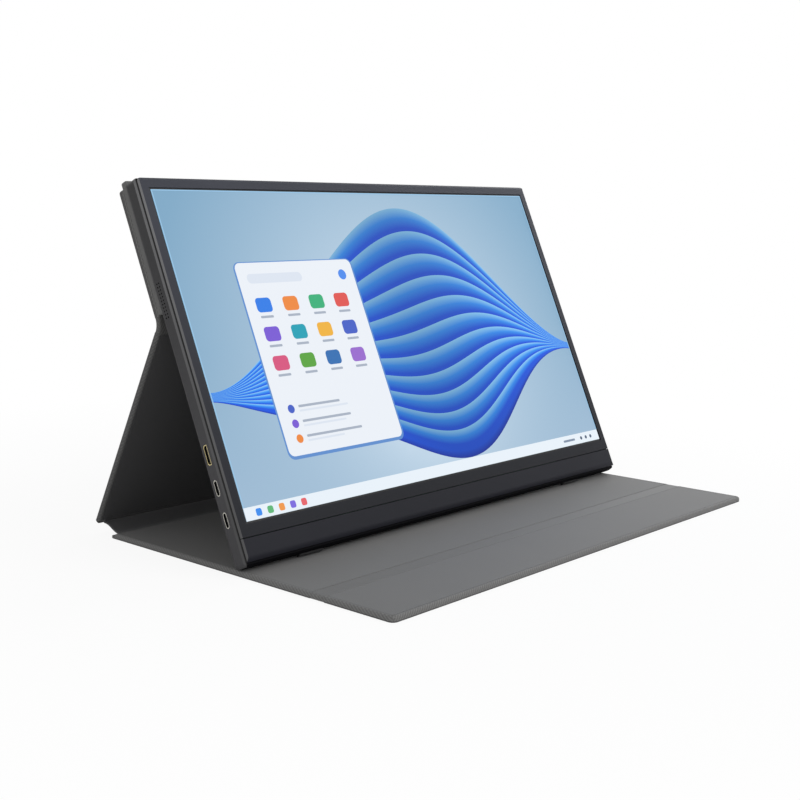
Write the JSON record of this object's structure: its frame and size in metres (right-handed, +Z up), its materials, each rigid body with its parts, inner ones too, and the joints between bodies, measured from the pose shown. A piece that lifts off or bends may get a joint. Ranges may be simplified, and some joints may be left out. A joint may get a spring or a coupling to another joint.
{
  "type": "portable monitor with folding cover",
  "caption": "Slim portable monitor leaning back on a folding cover whose panels form base, front flap, spine and slanted rear leg.",
  "frame": {"origin": "on the table, under the middle of the opened base panel with its flap", "axes": "+X along the width of the screen, +Y from the viewer to the back, +Z up; the screen faces -Y and leans back"},
  "size_m": [0.3596, 0.2444, 0.2129],
  "materials": {
    "housing_plastic": "satin",
    "frame_plastic": "satin",
    "chin_plastic": "satin",
    "screen_glass": "gloss",
    "film_white": "matte",
    "guide_acrylic": "gloss",
    "led_yellow": "gloss",
    "tray_metal": "satin",
    "circuit_green": "satin",
    "ribbon_amber": "satin",
    "screw_steel": "satin",
    "shell_nickel": "satin",
    "jack_plastic": "satin",
    "button_plastic": "satin",
    "speaker_plastic": "matte",
    "magnet_nickel": "satin",
    "foot_rubber": "matte",
    "cover_leather": "matte",
    "lining_soft": "matte",
    "stiffener_board": "matte",
    "plate_steel": "satin"
  },
  "bodies": {
    "base": {"base_skin": "cover_leather", "base_board": "stiffener_board", "base_lining": "lining_soft", "flap_crease": "cover_leather"},
    "flap": {"flap_skin": "cover_leather", "flap_board": "stiffener_board", "flap_lining": "lining_soft", "flap_magnets": "magnet_nickel"},
    "spine": {"spine_skin": "cover_leather", "spine_lining": "lining_soft"},
    "leg": {"leg_skin": "cover_leather", "leg_board": "stiffener_board", "leg_lining": "lining_soft", "back_crease": "cover_leather"},
    "monitor": {"rear_housing": "housing_plastic", "front_frame": "frame_plastic", "chin_bar": "chin_plastic", "lcd_cell": "screen_glass", "optical_sheets": "film_white", "light_guide": "guide_acrylic", "led_strip": "led_yellow", "backlight_tray": "tray_metal", "panel_board": "circuit_green", "display_cable": "ribbon_amber", "main_board": "circuit_green", "board_screws": "screw_steel", "hdmi_socket": "shell_nickel", "usb_c_socket_upper": "shell_nickel", "usb_c_socket_lower": "shell_nickel", "headphone_jack": "jack_plastic", "button_board": "circuit_green", "speaker_left": "speaker_plastic", "speaker_right": "speaker_plastic", "housing_magnets": "magnet_nickel", "rubber_feet": "foot_rubber", "upper_skin": "cover_leather", "upper_board": "stiffener_board", "upper_lining": "lining_soft", "mount_pad": "lining_soft", "steel_plate": "plate_steel"},
    "power": {"power_button": "button_plastic"},
    "rocker": {"menu_rocker": "button_plastic"}
  },
  "joints": [
    {"name": "flap_fold", "type": "hinge", "parent": "base", "child": "flap", "pos_m": [0, -0.061, 0.0017], "axis": [-1, 0, 0], "range_deg": [0, 110]},
    {"name": "spine_fold", "type": "hinge", "parent": "base", "child": "spine", "pos_m": [0, 0.1123, 0.0025], "axis": [1, 0, 0], "range_deg": [-15, 0]},
    {"name": "leg_fold", "type": "hinge", "parent": "spine", "child": "leg", "pos_m": [0, 0.12833, 0.0068], "axis": [1, 0, 0], "range_deg": [-102, 0]},
    {"name": "back_fold", "type": "hinge", "parent": "leg", "child": "monitor", "pos_m": [0, 0.06452, 0.13115], "axis": [1, 0, 0], "range_deg": [0, 51]},
    {"name": "power_press", "type": "slide", "parent": "monitor", "child": "power", "axis": [-1, 0, 0], "range_m": [0, 0.0005], "stiffness_N_per_m": 1500, "springref_m": -0.0005},
    {"name": "menu_rock", "type": "hinge", "parent": "monitor", "child": "rocker", "pos_m": [0.1757, 0.02692, 0.074], "axis": [0, 0.9135, -0.4067], "range_deg": [-3, 3], "stiffness_Nm_per_rad": 0.5}
  ],
  "couplings": [
    {"joint": "back_fold", "follows": "leg_fold", "ratio": -0.5}
  ]
}
